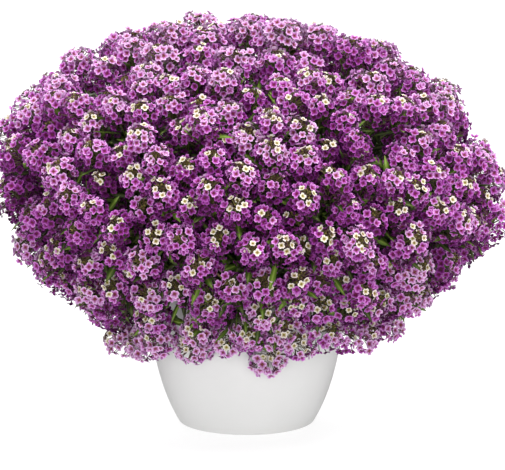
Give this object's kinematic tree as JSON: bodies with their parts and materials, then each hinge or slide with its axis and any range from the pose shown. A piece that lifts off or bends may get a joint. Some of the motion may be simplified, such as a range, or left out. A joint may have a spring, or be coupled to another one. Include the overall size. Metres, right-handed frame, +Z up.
{
  "type": "potted sweet alyssum",
  "caption": "Sweet alyssum in a round plastic nursery pot: a cushion of small purple and cream flower heads on thin green stems, overflowing the rim on all sides",
  "frame": {"origin": "centre of the flat underside of the pot, on the floor", "axes": "+Z up, -Y the front that the fullest flowers face, +X to the right seen from the front"},
  "size_m": [0.3786, 0.372, 0.3051],
  "materials": {
    "pot_plastic": "satin white moulded plastic",
    "potting_mix": "moist dark brown peat and bark, crumbly",
    "woody_crown": "brown-green bark",
    "green_stem": "smooth fresh green",
    "petals": "matt velvety, cream at the tip of a head, lilac to deep purple lower down",
    "leaf": "soft green, slightly hairy"
  },
  "bodies": {
    "root": {"pot": "pot_plastic", "potting_mix": "potting_mix", "root_crown": "woody_crown", "main_stem_01": "green_stem", "main_stem_02": "green_stem", "main_stem_03": "green_stem", "main_stem_04": "green_stem", "main_stem_05": "green_stem", "main_stem_06": "green_stem", "main_stem_07": "green_stem", "main_stem_08": "green_stem", "main_stem_09": "green_stem", "main_stem_10": "green_stem", "main_stem_11": "green_stem", "main_stem_12": "green_stem", "main_stem_13": "green_stem", "main_stem_14": "green_stem", "main_stem_15": "green_stem", "main_stem_16": "green_stem", "main_stem_17": "green_stem", "main_stem_18": "green_stem", "flower_spray_01": "petals", "flower_spray_02": "petals", "flower_spray_03": "petals", "flower_spray_04": "petals", "flower_spray_05": "petals", "flower_spray_06": "petals", "flower_spray_07": "petals", "flower_spray_08": "petals", "flower_spray_09": "petals", "flower_spray_10": "petals", "flower_spray_11": "petals", "flower_spray_12": "petals", "flower_spray_13": "petals", "flower_spray_14": "petals", "flower_spray_15": "petals", "flower_spray_16": "petals", "flower_spray_17": "petals", "flower_spray_18": "petals", "leafy_shoot_01": "leaf", "leafy_shoot_02": "leaf", "leafy_shoot_03": "leaf", "leafy_shoot_04": "leaf", "leafy_shoot_05": "leaf", "leafy_shoot_06": "leaf", "leafy_shoot_07": "leaf", "leafy_shoot_08": "leaf", "leafy_shoot_09": "leaf", "leafy_shoot_10": "leaf", "leafy_shoot_11": "leaf", "leafy_shoot_12": "leaf", "leafy_shoot_13": "leaf", "leafy_shoot_14": "leaf", "leafy_shoot_15": "leaf"}
  },
  "joints": []
}
